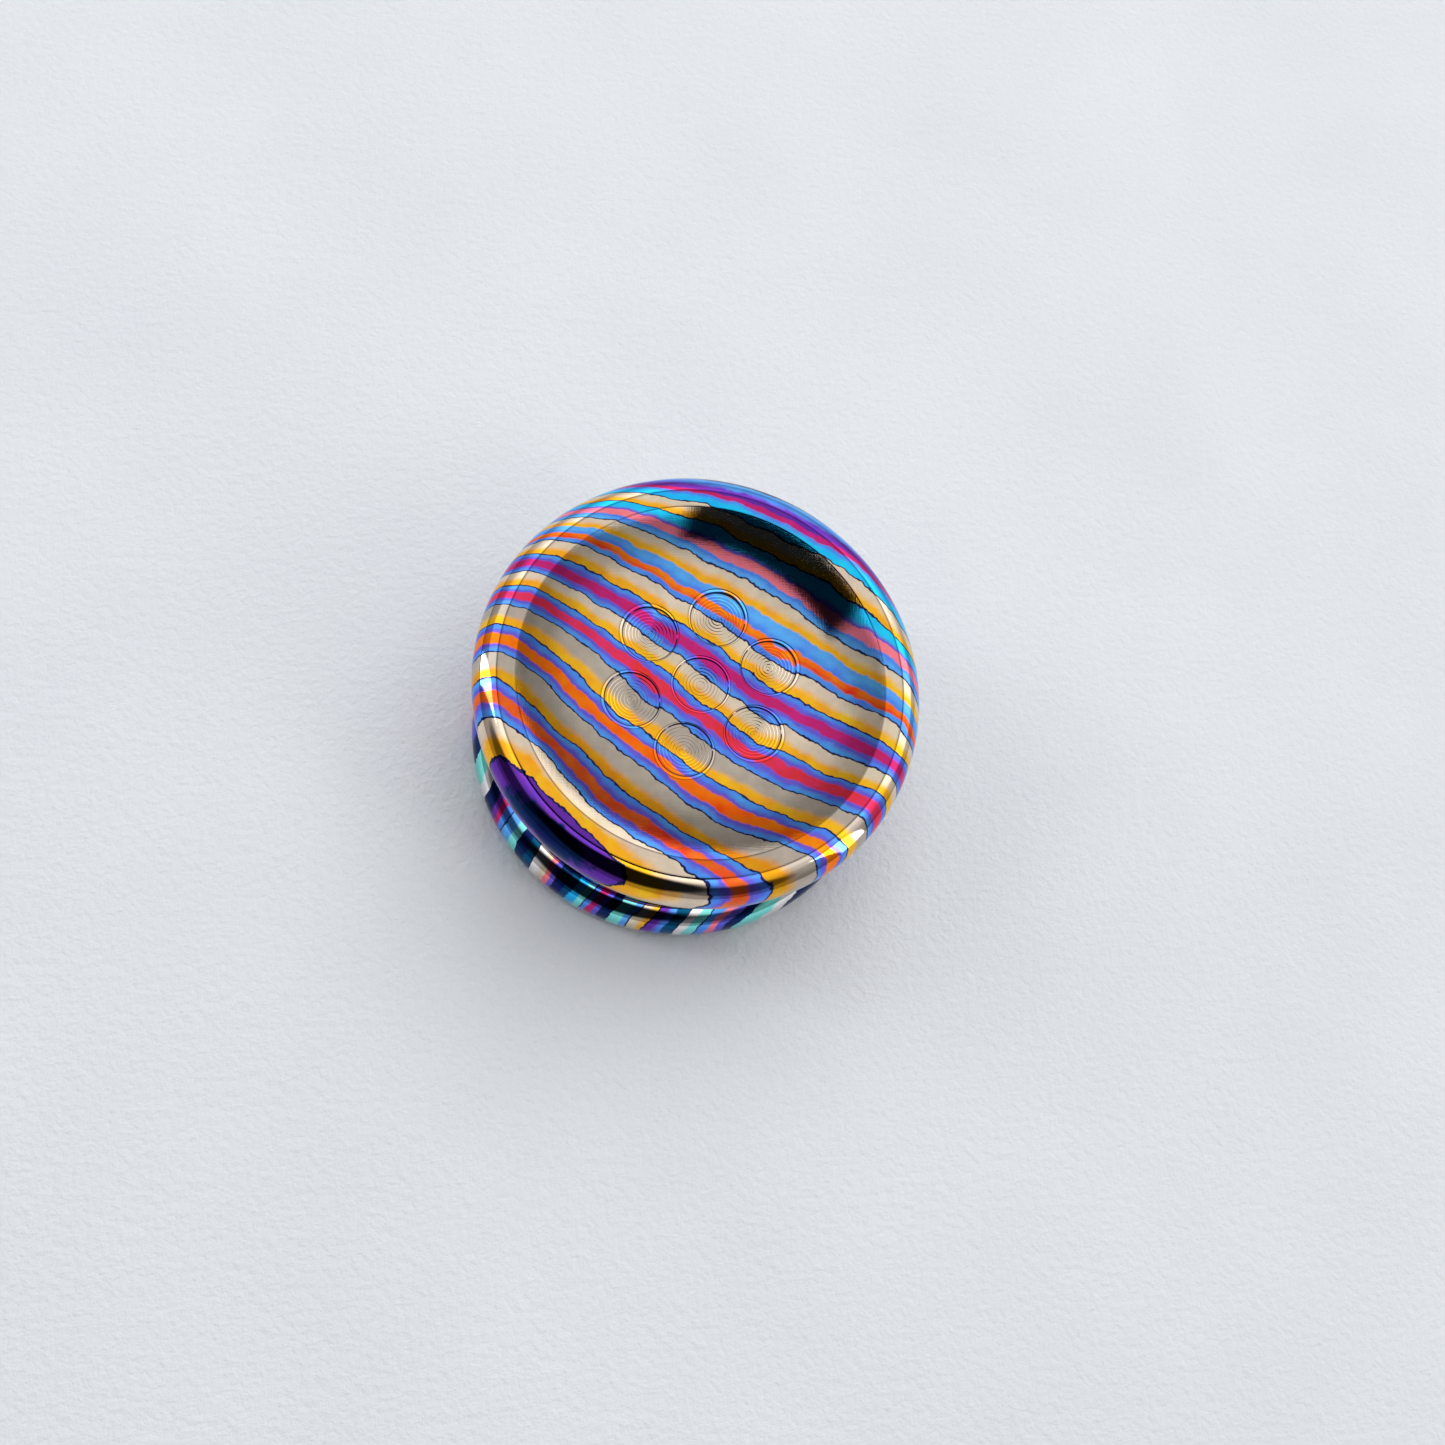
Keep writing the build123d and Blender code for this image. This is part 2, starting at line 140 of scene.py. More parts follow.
class Shell:
    """One closed surface, with the exact normal of the real surface at every face corner."""

    def __init__(self):
        self.points = []
        self.faces = []
        self.normals = []

    def add_point(self, x, y, z):
        self.points.append((x, y, z))
        return len(self.points) - 1

    def add_face(self, corners, normals):
        self.faces.append(corners)
        self.normals.append(normals)

    def ring(self, radius, height, count=turns, x=0.0, y=0.0):
        return [self.add_point(x + radius * c, y + radius * d, height) for c, d in circle(count)]

    def band(self, first, second, first_normal, second_normal):
        """Quads between two rings; the normals are (radial, height) pairs."""
        ways = circle(turns)
        for i in range(turns):
            j = (i + 1) % turns
            corners = ((first_normal, i), (second_normal, i), (second_normal, j), (first_normal, j))
            normals = tuple((n[0] * ways[k][0], n[0] * ways[k][1], n[1]) for n, k in corners)
            self.add_face((first[i], second[i], second[j], first[j]), normals)

    def walk(self, ring, profile):
        """Carries a ring along straight and curved stretches of a profile; gives the last ring."""
        for stretch in profile:
            for (r0, z0, n0), (r1, z1, n1) in zip(stretch, stretch[1:]):
                following = self.ring(r1, z1)
                self.band(ring, following, n0, n1)
                ring = following
        return ring

    def cap(self, ring, height, x=0.0, y=0.0):
        """Closes a ring with a flat round face that looks down."""
        middle = self.add_point(x, y, height)
        for i in range(len(ring)):
            self.add_face((ring[i], middle, ring[(i + 1) % len(ring)]), ((0, 0, -1),) * 3)

    def sheet(self, outline, holes, inside, height, normal, spacing):
        """Fills an outline with even triangles, leaving out the holes."""
        outlines = [outline] + holes
        ids = [i for loop in outlines for i in loop]
        hole_of = {i: k for k, loop in enumerate(holes) for i in loop}
        flat = [Vector(self.points[i][:2]) for i in ids]
        edges = []
        start = 0
        for loop in outlines:
            edges += [(start + k, start + (k + 1) % len(loop)) for k in range(len(loop))]
            start += len(loop)
        reach = max(p.length for p in flat)
        rows = int(reach / (spacing * row_share)) + 1
        for row in range(-rows, rows + 1):
            y = row * spacing * row_share
            for column in range(-rows, rows + 1):
                x = (column + 0.5 * (row % 2)) * spacing
                if inside(x, y):
                    flat.append(Vector((x, y)))
        out_points, _, triangles, originals, _, _ = delaunay_2d_cdt(flat, edges, [], 0, 1e-7)
        made = []
        for k, p in enumerate(out_points):
            source = [o for o in originals[k] if o < len(ids)]
            made.append(ids[source[0]] if source else self.add_point(p.x, p.y, height(p.x, p.y)))
        # a triangle with all its corners on one hole's rim lies inside that hole
        for triangle in triangles:
            corners = [made[k] for k in triangle]
            on_hole = {hole_of.get(i) for i in corners}
            if len(on_hole) == 1 and None not in on_hole:
                continue
            a, b, c = (Vector(self.points[i]) for i in corners)
            facing = normal(*((a + b + c) / 3))
            if (b - a).cross(c - a).dot(Vector(facing)) < 0:
                corners.reverse()
            self.add_face(tuple(corners), tuple(normal(*self.points[i]) for i in corners))

    def make(self, name, mirrored):
        points = np.array(self.points, dtype=float)
        faces, normals = self.faces, self.normals
        if mirrored:
            points[:, 2] = overall - points[:, 2]
            faces = [f[::-1] for f in faces]
            normals = [tuple((x, y, -z) for x, y, z in n[::-1]) for n in normals]
        mesh = bpy.data.meshes.new(name)
        mesh.from_pydata((points / MM).tolist(), [], faces)
        mesh.polygons.foreach_set("use_smooth", [True] * len(mesh.polygons))
        mesh.normals_split_custom_set([n for corner in normals for n in corner])
        made = bpy.data.objects.new(name, mesh)
        bpy.context.scene.collection.objects.link(made)
        return made


def line(r0, z0, r1, z1):
    """Straight stretch of a profile, with the metal on the right of the way walked."""
    length = math.hypot(r1 - r0, z1 - z0)
    n = (-(z1 - z0) / length, (r1 - r0) / length)
    return [(r0, z0, n), (r1, z1, n)]


def arc(cr, cz, radius, start, end, steps, hollow):
    """Round stretch of a profile; angles in radians from the radial direction."""
    out = []
    sign = -1 if hollow else 1
    for k in range(steps + 1):
        a = start + (end - start) * k / steps
        c, d = math.cos(a), math.sin(a)
        out.append((cr + radius * c, cz + radius * d, (sign * c, sign * d)))
    return out


def dish_height(x, y):
    return dish_centre - math.sqrt(dish_radius**2 - x * x - y * y)


def dish_normal(x, y, z):
    n = Vector((-x, -y, dish_centre - z))
    return tuple(n.normalized())


def dimple_spots():
    """Place and axes of every dimple: the middle one, then the ring."""
    spots = [(Vector((0, 0, dish_floor)), Vector((1, 0, 0)), Vector((0, 1, 0)), Vector((0, 0, 1)))]
    for i in range(dimple_count):
        a = dimple_first + 2 * math.pi * i / dimple_count
        x, y = dimple_ring * math.cos(a), dimple_ring * math.sin(a)
        n = Vector(dish_normal(x, y, dish_height(x, y)))
        side = Vector((-math.sin(a), math.cos(a), 0))
        spots.append((Vector((x, y, dish_height(x, y))), side.cross(n).normalized(), side, n))
    return spots


def cut_dimple(shell, rim, spot):
    """Rolled edge, step and bowl of one dimple, with the fine turning marks of its cutter."""
    origin, u, v, n = spot
    out = [u * c + v * d for c, d in circle(dimple_turns)]
    wave = 2 * math.pi / mark_pitch

    def dish_sag(radius):
        return dish_radius - math.sqrt(dish_radius**2 - radius**2)

    def rolled(share):
        """Polished-over edge, steeper the nearer to the step."""
        radius = roll_radius + (step_top_radius - roll_radius) * share
        drop = roll_drop * share**roll_power
        slope = roll_power * roll_drop * share ** (roll_power - 1) / (roll_radius - step_top_radius)
        return radius, dish_sag(radius) - drop, radius / dish_radius + slope

    def bowl(radius):
        """Shallow floor, with marks that fade out at its edge and middle."""
        fade = min(1.0, (step_foot_radius - radius) / mark_fade_outside, radius / mark_fade_middle)
        sag = math.sqrt(dimple_bowl_radius**2 - radius**2)
        depth = dimple_bowl_radius - sag - dimple_wall - dimple_bowl
        mark = mark_height * fade
        return (
            radius,
            depth + mark * (1 - math.cos(wave * radius)) / 2,
            radius / sag + mark * wave * math.sin(wave * radius) / 2,
        )

    rows = [rolled(k / roll_steps) for k in range(roll_steps + 1)]
    top, foot = rows[-1], bowl(step_foot_radius)
    for k in range(1, step_steps):
        share = k / step_steps
        ease = share * share * (3 - 2 * share)
        steep = (top[1] - foot[1]) / (top[0] - foot[0]) * 6 * share * (1 - share)
        base = top[2] + (foot[2] - top[2]) * share
        radius = top[0] + (foot[0] - top[0]) * share
        rows.append((radius, top[1] + (foot[1] - top[1]) * ease, base + steep))
    rows += [bowl(step_foot_radius * (1 - k / bowl_steps)) for k in range(bowl_steps)]

    def leaning(i, slope):
        return tuple((n - out[i] * slope).normalized())

    before, before_slope = rim, rows[0][2]
    for radius, depth, slope in rows[1:]:
        ring = [shell.add_point(*(origin + d * radius + n * depth)) for d in out]
        for i in range(dimple_turns):
            j = (i + 1) % dimple_turns
            shell.add_face(
                (before[i], before[j], ring[j], ring[i]),
                (leaning(i, before_slope), leaning(j, before_slope), leaning(j, slope), leaning(i, slope)),
            )
        before, before_slope = ring, slope
    bottom = shell.add_point(*(origin + n * bowl(0)[1]))
    for i in range(dimple_turns):
        j = (i + 1) % dimple_turns
        normals = (leaning(i, before_slope), leaning(j, before_slope), tuple(n))
        shell.add_face((before[i], before[j], bottom), normals)


def screw_hole_walls(shell, x, y, rim):
    """Plain drilled hole over a carrier screw, closed at its top."""
    ways = circle(screw_turns)
    top = shell.ring(screw_hole, screw_hole_top, screw_turns, x, y)
    for i in range(screw_turns):
        j = (i + 1) % screw_turns
        ni, nj = ((-ways[k][0], -ways[k][1], 0) for k in (i, j))
        shell.add_face((rim[i], top[i], top[j], rim[j]), (ni, ni, nj, nj))
    shell.cap(top, screw_hole_top, x, y)


def disc(name, inner_profile, closing_height, mirrored):
    """One disc of the button, built as the upper one and mirrored for the lower."""
    shell = Shell()
    edge_radius = dish_radius * math.sin(dish_edge_angle)
    edge = shell.ring(edge_radius, dish_height(edge_radius, 0))
    rise = dish_radius - math.sqrt(dish_radius**2 - roll_radius**2)
    spots = dimple_spots()
    rims = []
    for origin, u, v, n in spots:
        rim = [origin + (u * c + v * d) * roll_radius + n * rise for c, d in circle(dimple_turns)]
        rims.append([shell.add_point(*point) for point in rim])

    def in_dish(x, y):
        return math.hypot(x, y) < edge_radius - dish_margin and all(
            math.hypot(x - spot[0].x, y - spot[0].y) > roll_radius + dimple_margin for spot in spots
        )

    shell.sheet(edge, rims, in_dish, dish_height, dish_normal, dish_spacing)
    for rim, spot in zip(rims, spots):
        cut_dimple(shell, rim, spot)

    quarter = math.pi / 2
    groove_height = lip_height - lip_round - groove_round
    recess_radius = carrier_outer + fit_gap
    outside = [
        arc(crest_inner, lip_height, lip_round, quarter + dish_edge_angle, quarter, crest_steps, False),
        line(crest_inner, overall, lip_circle, overall),
        arc(lip_circle, lip_height, lip_round, quarter, -quarter, lip_steps, False),
        arc(lip_circle, groove_height, groove_round, quarter, 2 * quarter, groove_steps, True),
        line(waist, groove_height, waist, seam + seam_chamfer),
        line(waist, seam + seam_chamfer, waist - seam_chamfer, seam),
        line(waist - seam_chamfer, seam, recess_radius, seam),
        line(recess_radius, seam, recess_radius, carrier_top),
    ]
    ring = shell.walk(edge, outside)

    inner = shell.ring(boss, carrier_top)
    screw_spots = [(screw_ring * math.cos(a), screw_ring * math.sin(a)) for a in screw_angles]
    screw_rims = [shell.ring(screw_hole, carrier_top, screw_turns, x, y) for x, y in screw_spots]

    def on_recess_floor(x, y):
        return carrier_inner + floor_margin < math.hypot(x, y) < carrier_outer - floor_margin and all(
            math.hypot(x - hx, y - hy) > screw_hole + hole_margin for hx, hy in screw_spots
        )

    shell.sheet(
        ring,
        [inner] + screw_rims,
        on_recess_floor,
        lambda x, y: carrier_top,
        lambda x, y, z: (0, 0, -1),
        floor_spacing,
    )
    for (x, y), rim in zip(screw_spots, screw_rims):
        screw_hole_walls(shell, x, y, rim)
    shell.cap(shell.walk(inner, inner_profile), closing_height)
    return shell.make(name, mirrored)


# the upper disc's middle takes the post: its flange, its spigot and the screw that holds it
recess_room = 0.3
flange_thickness = 0.8
spigot_radius = 2.2
tap = 1.25
recess_top = shim_low[2] + recess_room
flange_seat = post_flange + fit_gap
flange_top = shim_high[2] + flange_thickness
spigot = spigot_radius + fit_gap
tap_top = post_screw_top + drill_room
upper_inside = [
    line(boss, carrier_top, boss, recess_top),
    line(boss, recess_top, flange_seat, recess_top),
    line(flange_seat, recess_top, flange_seat, flange_top),
    line(flange_seat, flange_top, spigot, flange_top),
    line(spigot, flange_top, spigot, post_top),
    line(spigot, post_top, tap, post_top),
    line(tap, post_top, tap, tap_top),
]

# the lower disc's middle takes the bearing, with a relief under the turning race
race_ledge = 0.6
relief_depth = 0.25
race_outer = race_high[0]
pocket_floor = overall - race_low[2]
relief = race_outer - race_ledge
relief_floor = pocket_floor + relief_depth
lower_inside = [
    line(boss, carrier_top, boss, seam),
    line(boss, seam, race_outer, seam),
    line(race_outer, seam, race_outer, pocket_floor),
    line(race_outer, pocket_floor, relief, pocket_floor),
    line(relief, pocket_floor, relief, relief_floor),
]

upper_disc = disc("upper_disc", upper_inside, tap_top, False)
lower_disc = disc("lower_disc", lower_inside, relief_floor, True)
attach(upper_disc, "top")
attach(lower_disc, "base")
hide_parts("upper_half")
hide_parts("lower_half")


# ---------------------------------------------------------------- node helpers
def linear(red, green, blue):
    """sRGB 0 to 255 as a linear colour."""
    out = []
    for c in (red, green, blue):
        c = c / 255
        out.append(c / 12.92 if c <= 0.04045 else ((c + 0.055) / 1.055) ** 2.4)
    return (*out, 1.0)


class Sheet:
    """A material's node tree, with short ways to add to it."""

    def __init__(self, name):
        self.material = bpy.data.materials.new(name)
        self.material.use_nodes = True
        self.tree = self.material.node_tree
        self.tree.nodes.clear()
        self.output = self.tree.nodes.new("ShaderNodeOutputMaterial")
        self.shader = self.tree.nodes.new("ShaderNodeBsdfPrincipled")
        self.link(self.shader.outputs["BSDF"], self.output.inputs["Surface"])
        place = self.tree.nodes.new("ShaderNodeTexCoord")
        self.place = self.vector("SCALE", place.outputs["Object"], None, MM)

    def link(self, source, target):
        self.tree.links.new(source, target)

    def feed(self, socket, value):
        if isinstance(value, bpy.types.NodeSocket):
            self.link(value, socket)
        else:
            socket.default_value = value

    def math(self, operation, a, b=None, c=None):
        node = self.tree.nodes.new("ShaderNodeMath")
        node.operation = operation
        for socket, value in zip(node.inputs, (a, b, c)):
            if value is not None:
                self.feed(socket, value)
        return node.outputs[0]

    def vector(self, operation, a, b=None, scale=None):
        node = self.tree.nodes.new("ShaderNodeVectorMath")
        node.operation = operation
        self.feed(node.inputs[0], a)
        if b is not None:
            self.feed(node.inputs[1], b)
        if scale is not None:
            self.feed(node.inputs["Scale"], scale)
        return node.outputs["Value"] if operation in ("DOT_PRODUCT", "LENGTH") else node.outputs["Vector"]

    def along(self, direction):
        return self.vector("DOT_PRODUCT", self.place, direction)

    def noise(self, place, scale, detail=2.0, roughness=0.5):
        """Noise about zero, from about -1 to 1."""
        node = self.tree.nodes.new("ShaderNodeTexNoise")
        self.link(place, node.inputs["Vector"])
        node.inputs["Scale"].default_value = scale
        node.inputs["Detail"].default_value = detail
        node.inputs["Roughness"].default_value = roughness
        return self.math("MULTIPLY_ADD", node.outputs["Fac"], 4.0, -2.0)

    def ramp(self, value, stops):
        node = self.tree.nodes.new("ShaderNodeValToRGB")
        node.color_ramp.interpolation = "LINEAR"
        elements = node.color_ramp.elements
        while len(elements) > 1:
            elements.remove(elements[0])
        elements[0].position = stops[0][0]
        elements[0].color = stops[0][1]
        for position, colour in stops[1:]:
            elements.new(position).color = colour
        self.link(value, node.inputs["Fac"])
        return node.outputs["Color"]

    def mix(self, factor, a, b, blend="MIX"):
        node = self.tree.nodes.new("ShaderNodeMix")
        node.data_type = "RGBA"
        node.blend_type = blend
        self.feed(node.inputs[0], factor)
        self.feed(node.inputs[6], a)
        self.feed(node.inputs[7], b)
        return node.outputs[2]

    def bump(self, height, distance):
        node = self.tree.nodes.new("ShaderNodeBump")
        node.inputs["Strength"].default_value = 1.0
        node.inputs["Distance"].default_value = distance
        self.link(height, node.inputs["Height"])
        return node.outputs["Normal"]


# ---------------------------------------------------------------- heat-coloured laminate
colours = {
    "beige": linear(226, 208, 184),
    "grey": linear(186, 174, 160),
    "pearl": linear(240, 236, 236),
    "gold": linear(255, 184, 40),
    "ochre": linear(232, 158, 30),
    "orange": linear(255, 120, 22),
    "rust": linear(238, 98, 40),
    "red": linear(232, 58, 92),
    "magenta": linear(200, 44, 120),
    "salmon": linear(255, 132, 150),
    "purple": linear(106, 52, 168),
    "violet": linear(108, 96, 216),
    "blue": linear(84, 148, 244),
    "sky": linear(96, 176, 255),
    "cyan": linear(40, 198, 255),
    "mint": linear(130, 232, 226),
    "navy": linear(18, 40, 92),
    "teal": linear(14, 78, 118),
}
etched = linear(34, 34, 78)

# each layer is (colour, thickness); None is an etched line between two layers
upper_layers = [
    ("navy", 0.5), ("purple", 0.6), None,
    ("gold", 0.8), ("beige", 0.9), None,
    ("blue", 0.4), ("violet", 0.3), ("rust", 0.8), ("violet", 0.4), ("blue", 0.4), None,
    ("ochre", 0.8), ("grey", 1.3), None,
    ("blue", 0.35), ("violet", 0.35), ("orange", 0.9), ("violet", 0.25), ("blue", 0.5), None,
    ("gold", 0.85), ("grey", 1.25), None,
    ("blue", 0.4), ("violet", 0.35), ("red", 0.85), ("violet", 0.25), ("blue", 0.4), None,
    ("gold", 0.75), ("beige", 0.9), None,
    ("blue", 0.35), ("violet", 0.3), ("magenta", 0.8), ("violet", 0.3), ("blue", 0.35), None,
    ("gold", 0.7), ("beige", 0.9), None,
    ("blue", 0.4), ("rust", 0.3), ("orange", 0.35), ("blue", 0.3), ("sky", 0.7),
    ("gold", 0.6), ("beige", 0.7), None,
    ("sky", 0.4), ("blue", 0.25), ("salmon", 0.8), ("violet", 0.2), ("cyan", 0.9), None,
    ("gold", 0.6), ("beige", 0.8), None,
    ("cyan", 0.8), ("blue", 0.3), ("magenta", 0.5), ("purple", 0.9), ("blue", 0.6), ("sky", 0.6),
]
lower_layers = [
    ("mint", 1.1), ("pearl", 0.8), None,
    ("navy", 1.0), ("purple", 0.5), ("magenta", 0.6), ("blue", 0.6), None,
    ("sky", 0.9), ("mint", 0.9), None,
    ("navy", 0.9), ("teal", 0.8), None,
    ("pearl", 0.9), ("beige", 0.5), ("salmon", 0.6), ("violet", 0.5), None,
    ("navy", 1.0), ("teal", 0.7), ("cyan", 0.8), ("mint", 0.7), None,
    ("blue", 0.5), ("magenta", 0.7), ("violet", 0.5), ("navy", 0.9), None,
    ("mint", 1.1), ("sky", 0.6), None,
    ("beige", 0.8), ("gold", 0.4), None,
    ("purple", 0.8), ("blue", 0.5), ("teal", 1.0), None,
    ("pearl", 0.8), ("mint", 0.7), None,
    ("blue", 0.6), ("salmon", 0.5), ("violet", 0.5), ("navy", 0.8),
]
line_width = 0.1
line_edge = 0.02
soft_edge = 0.07
slow_edge = 0.24
slow_share = 0.42
# width, steepness and strength of the painted shade in the step round each dimple
step_shade_half_width = 0.075
step_shade_slope = 18.0
step_shade_depth = 0.8
stops_in_ramp = 30
# waves in the layers: noise scale, detail and roughness, then how far they shift the stack
ripples = [(0.22, 1.0, 0.5, 0.3), (0.8, 2.0, 0.5, 0.15), (3.2, 3.0, 0.6, 0.038)]
drift_share = 0.16
hue_shift = 0.018
value_shift = 0.1
polish = 0.038
polish_haze = 0.008
polish_grain = 0.005
finest_polish = 0.026
orange_peel = 1.6
hairline_depth = 0.00000016


def stack_stops(layers):
    """Stops in millimetres up the stack: two for each layer and each etched line."""
    stops = []
    t = 0.0
    for index, layer in enumerate(layers):
        if layer is None:
            stops.append((t, etched))
            t += line_width
            stops.append((t, etched))
            continue
        name, thickness = layer
        before, after = layers[index - 1], layers[(index + 1) % len(layers)]
        stops.append((t + edge_softness(name, before, thickness), colours[name]))
        t += thickness
        stops.append((t - edge_softness(name, after, thickness), colours[name]))
    return stops, t


def edge_softness(name, neighbour, thickness):
    """How far a layer's colour takes to settle: crisp at an etched line, slow between like metals."""
    if neighbour is None:
        return line_edge
    pale = ("gold", "ochre", "beige", "grey", "pearl")
    cool = ("blue", "violet", "sky", "cyan", "purple")
    alike = any(name in family and neighbour[0] in family for family in (pale, cool))
    return min(slow_edge, thickness * slow_share) if alike else soft_edge


def stack_colour(sheet, t, layers):
    """Colour of the stack at height t, which repeats past its ends."""
    stops, total = stack_stops(layers)
    t = sheet.math("WRAP", t, total, 0.0)
    colour = None
    for start in range(0, len(stops), stops_in_ramp):
        part = stops[start:start + stops_in_ramp + 1]
        low, high = part[0][0], part[-1][0]
        share = sheet.math("DIVIDE", sheet.math("SUBTRACT", t, low), high - low)
        here = sheet.ramp(share, [((p - low) / (high - low), c) for p, c in part])
        if colour is None:
            colour = here
        else:
            colour = sheet.mix(sheet.math("GREATER_THAN", t, low), colour, here)
    return colour


def laminate(name, layers, lower, azimuth, tilt, first, wander, seed):
    """Mirror-polished metal of many forged layers, each with its own oxide colour."""
    sheet = Sheet(name)
    a = math.radians(azimuth)
    across = sheet.along((math.cos(a), math.sin(a), 0))
    side = sheet.along((-math.sin(a), math.cos(a), 0))
    # height over the dish, carried on past its edge
    up_side, lip_level = (-1.0, overall - lip_height) if lower else (1.0, -lip_height)
    height = sheet.math("MULTIPLY_ADD", sheet.along((0, 0, 1)), up_side, lip_level)
    flat_place = sheet.vector("MULTIPLY", sheet.place, (1.0, 1.0, 0.0))
    reach_squared = sheet.vector("DOT_PRODUCT", flat_place, flat_place)
    height = sheet.math("MULTIPLY_ADD", reach_squared, -0.5 / dish_radius, height)
    shifted = sheet.vector("ADD", sheet.place, (seed, 2 * seed, 0))
    # the broad waves the layers were forged with
    turn, bend, twist, swell, fan, bow = wander
    side_squared = sheet.math("MULTIPLY", side, side)
    stretch = sheet.math("MULTIPLY_ADD", side, swell, 1.0)
    stretch = sheet.math("MULTIPLY_ADD", side_squared, fan, stretch)
    stretch = sheet.math("MULTIPLY_ADD", across, bow, stretch)
    lean = sheet.math("MULTIPLY_ADD", side, bend, turn)
    lean = sheet.math("MULTIPLY_ADD", side_squared, twist, lean)
    t = sheet.math("MULTIPLY", across, stretch)
    t = sheet.math("MULTIPLY_ADD", side, lean, t)
    t = sheet.math("MULTIPLY_ADD", height, tilt, t)
    # waves a few millimetres long, then the ragged edges of each layer
    for scale, detail, roughness, shift in ripples:
        t = sheet.math("MULTIPLY_ADD", sheet.noise(shifted, scale, detail, roughness), shift, t)
    t = sheet.math("SUBTRACT", t, first)
    colour = stack_colour(sheet, t, layers)
    # painted shade: a dark ring painted into the colour along the step round each dimple
    nearest = None
    for origin, _, _, _ in dimple_spots():
        spot = Vector((origin.x, origin.y, overall - origin.z if lower else origin.z))
        span = sheet.vector("LENGTH", sheet.vector("SUBTRACT", sheet.place, spot))
        nearest = span if nearest is None else sheet.math("MINIMUM", nearest, span)
    step_middle = (step_top_radius + step_foot_radius) / 2
    off_step = sheet.math("ABSOLUTE", sheet.math("SUBTRACT", nearest, step_middle))
    painted_step_shade = sheet.math("MULTIPLY", sheet.math("SUBTRACT", step_shade_half_width, off_step), step_shade_slope)
    painted_step_shade = sheet.math("MINIMUM", sheet.math("MAXIMUM", painted_step_shade, 0.0), step_shade_depth)
    colour = sheet.mix(painted_step_shade, colour, linear(26, 24, 66))
    # slow drifts of oxide thickness, which shift the tone along a layer
    drift = sheet.noise(shifted, 0.35, 2.0)
    colour = sheet.mix(sheet.math("MULTIPLY", drift, drift_share), colour, linear(255, 250, 244), "MULTIPLY")
    tone = sheet.tree.nodes.new("ShaderNodeHueSaturation")
    hue = sheet.math("MULTIPLY_ADD", sheet.noise(shifted, 0.5, 2.0), hue_shift, 0.5)
    value = sheet.math("MULTIPLY_ADD", sheet.noise(shifted, 1.1, 3.0), value_shift, 1.0)
    sheet.link(hue, tone.inputs["Hue"])
    sheet.link(value, tone.inputs["Value"])
    sheet.link(colour, tone.inputs["Color"])
    sheet.link(tone.outputs["Color"], sheet.shader.inputs["Base Color"])
    sheet.shader.inputs["Metallic"].default_value = 1.0
    # polish: nearly a mirror, hazier where it was handled, with hairline scratches
    haze = sheet.math("MULTIPLY_ADD", sheet.noise(shifted, 0.6, 3.0), polish_haze, polish)
    grain = sheet.math("MULTIPLY_ADD", sheet.noise(shifted, 6.0, 3.0), polish_grain, haze)
    sheet.link(sheet.math("MAXIMUM", grain, finest_polish), sheet.shader.inputs["Roughness"])
    stretched = sheet.vector("MULTIPLY", shifted, (0.6, 9.0, 3.0))
    crossing = sheet.vector("MULTIPLY", shifted, (9.0, 0.7, 3.0))
    hair = sheet.math("ADD", sheet.noise(stretched, 1.4, 3.0, 0.6), sheet.noise(crossing, 1.1, 3.0, 0.6))
    relief_map = sheet.math("MULTIPLY_ADD", sheet.noise(shifted, 0.9, 3.0), orange_peel, hair)
    sheet.link(sheet.bump(relief_map, hairline_depth), sheet.shader.inputs["Normal"])
    return sheet.material


upper_finish = laminate(
    "upper_laminate_finish",
    upper_layers,
    lower=False,
    azimuth=50,
    tilt=-0.75,
    first=-15.5,
    wander=(0.048, 0.0022, 0.0008, 0.0087, 0.001, -0.0034),
    seed=0.0,
)
lower_finish = laminate(
    "lower_laminate_finish",
    lower_layers,
    lower=True,
    azimuth=335,
    tilt=0.15,
    first=-14.35,
    wander=(0.02, 0.003, -0.0004, -0.006, 0.0006, 0.0),
    seed=40.0,
)
upper_disc.data.materials.append(upper_finish)
lower_disc.data.materials.append(lower_finish)


# ---------------------------------------------------------------- plain metals and rubber of the inner pieces
def turned_metal(name, colour, dark, rough, marks, pitch):
    """Lathe-turned metal: fine rings round the axis, stains and a little wear."""
    sheet = Sheet(name)
    reach = sheet.vector("LENGTH", sheet.vector("MULTIPLY", sheet.place, (1.0, 1.0, 0.0)))
    path = sheet.math("ADD", reach, sheet.along((0, 0, 1)))
    rings = sheet.math("SINE", sheet.math("MULTIPLY", path, 2 * math.pi / pitch))
    rings = sheet.math("MULTIPLY_ADD", sheet.noise(sheet.place, 7.0, 2.0), 0.5, rings)
    stain = sheet.math("MULTIPLY_ADD", sheet.noise(sheet.place, 0.45, 4.0, 0.6), 0.35, 0.35)
    sheet.link(sheet.mix(stain, colour, dark), sheet.shader.inputs["Base Color"])
    sheet.shader.inputs["Metallic"].default_value = 1.0
    wear = sheet.math("MULTIPLY_ADD", sheet.noise(sheet.place, 1.3, 4.0, 0.65), 0.09, rough)
    sheet.link(sheet.math("MAXIMUM", wear, 0.06), sheet.shader.inputs["Roughness"])
    sheet.link(sheet.bump(rings, marks), sheet.shader.inputs["Normal"])
    return sheet.material


